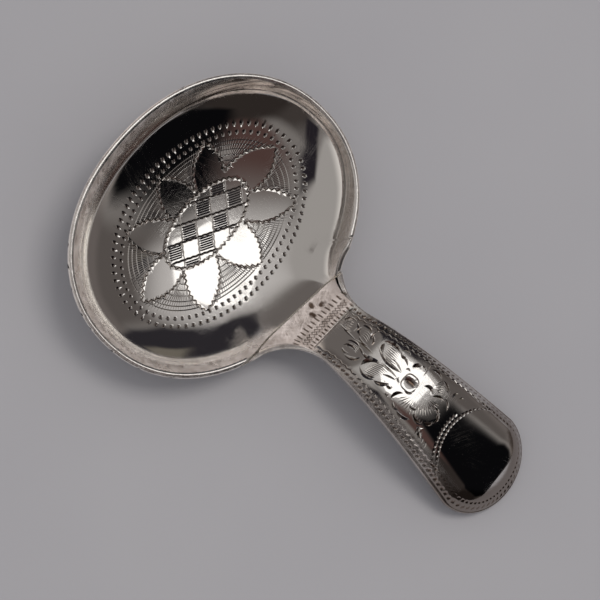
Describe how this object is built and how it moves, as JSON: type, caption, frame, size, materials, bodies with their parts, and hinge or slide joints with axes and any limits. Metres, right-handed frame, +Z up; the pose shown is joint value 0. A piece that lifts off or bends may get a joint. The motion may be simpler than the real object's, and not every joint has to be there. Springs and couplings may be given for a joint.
{
  "type": "caddy spoon",
  "caption": "Silver tea caddy spoon: a wide oval dish hard-soldered to a short domed and arched handle that widens to a rounded end.",
  "frame": {"origin": "on the table, at the middle of the flat worn under the belly of the dish", "axes": "+X from the dish to the handle's tip, +Y across the spoon, +Z up out of the dish"},
  "size_m": [0.0759, 0.0482, 0.0106],
  "materials": {
    "dish_silver": "polished sterling silver sheet, raised, filed and engraved",
    "handle_silver": "polished sterling silver sheet, domed, filed and bright-cut",
    "hard_solder": "hard silver solder, filed flush"
  },
  "bodies": {
    "root": {"bowl": "dish_silver", "solder_seam": "hard_solder", "handle": "handle_silver"}
  },
  "joints": []
}
